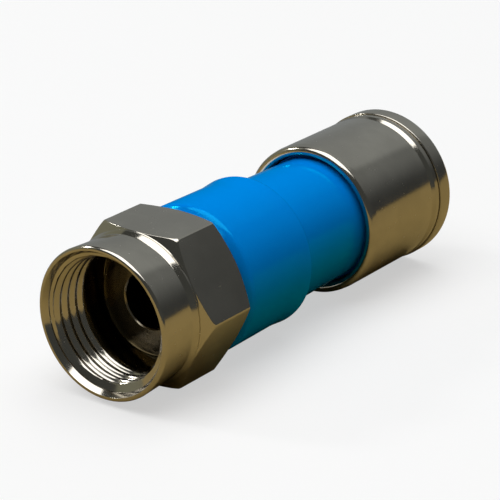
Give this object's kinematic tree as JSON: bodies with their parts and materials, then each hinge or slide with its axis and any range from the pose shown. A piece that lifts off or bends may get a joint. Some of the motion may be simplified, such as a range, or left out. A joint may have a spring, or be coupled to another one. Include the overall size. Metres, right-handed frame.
{
  "type": "f connector",
  "caption": "Straight compression F connector plug with a hexagonal coupling nut, a blue plastic body and a metal ferrule that slides over its neck.",
  "frame": {"origin": "centre of the post's flange face, the plane where the port's end seats", "axes": "+Y along the connector's axis from the nut towards the cable end, +Z square to two level flats of the nut"},
  "size_m": [0.0124, 0.0344, 0.0116],
  "materials": {
    "nut_nickel": "polished nickel plate on brass",
    "post_nickel": "satin nickel plate on brass",
    "seal_rubber": "smooth black rubber",
    "body_blue": "glossy blue moulded plastic",
    "ferrule_nickel": "polished nickel plate on brass"
  },
  "bodies": {
    "shell": {"body": "body_blue", "post": "post_nickel", "seal_ring": "seal_rubber"},
    "nut": {"nut": "nut_nickel"},
    "ferrule": {"ferrule": "ferrule_nickel"}
  },
  "joints": [
    {"name": "nut_spin", "type": "hinge", "parent": "shell", "child": "nut", "pos_m": [0, 0, 0], "axis": [0, 1, 0], "continuous": true},
    {"name": "ferrule_slide", "type": "slide", "parent": "shell", "child": "ferrule", "axis": [0, -1, 0], "range_m": [0, 0.0071]}
  ]
}
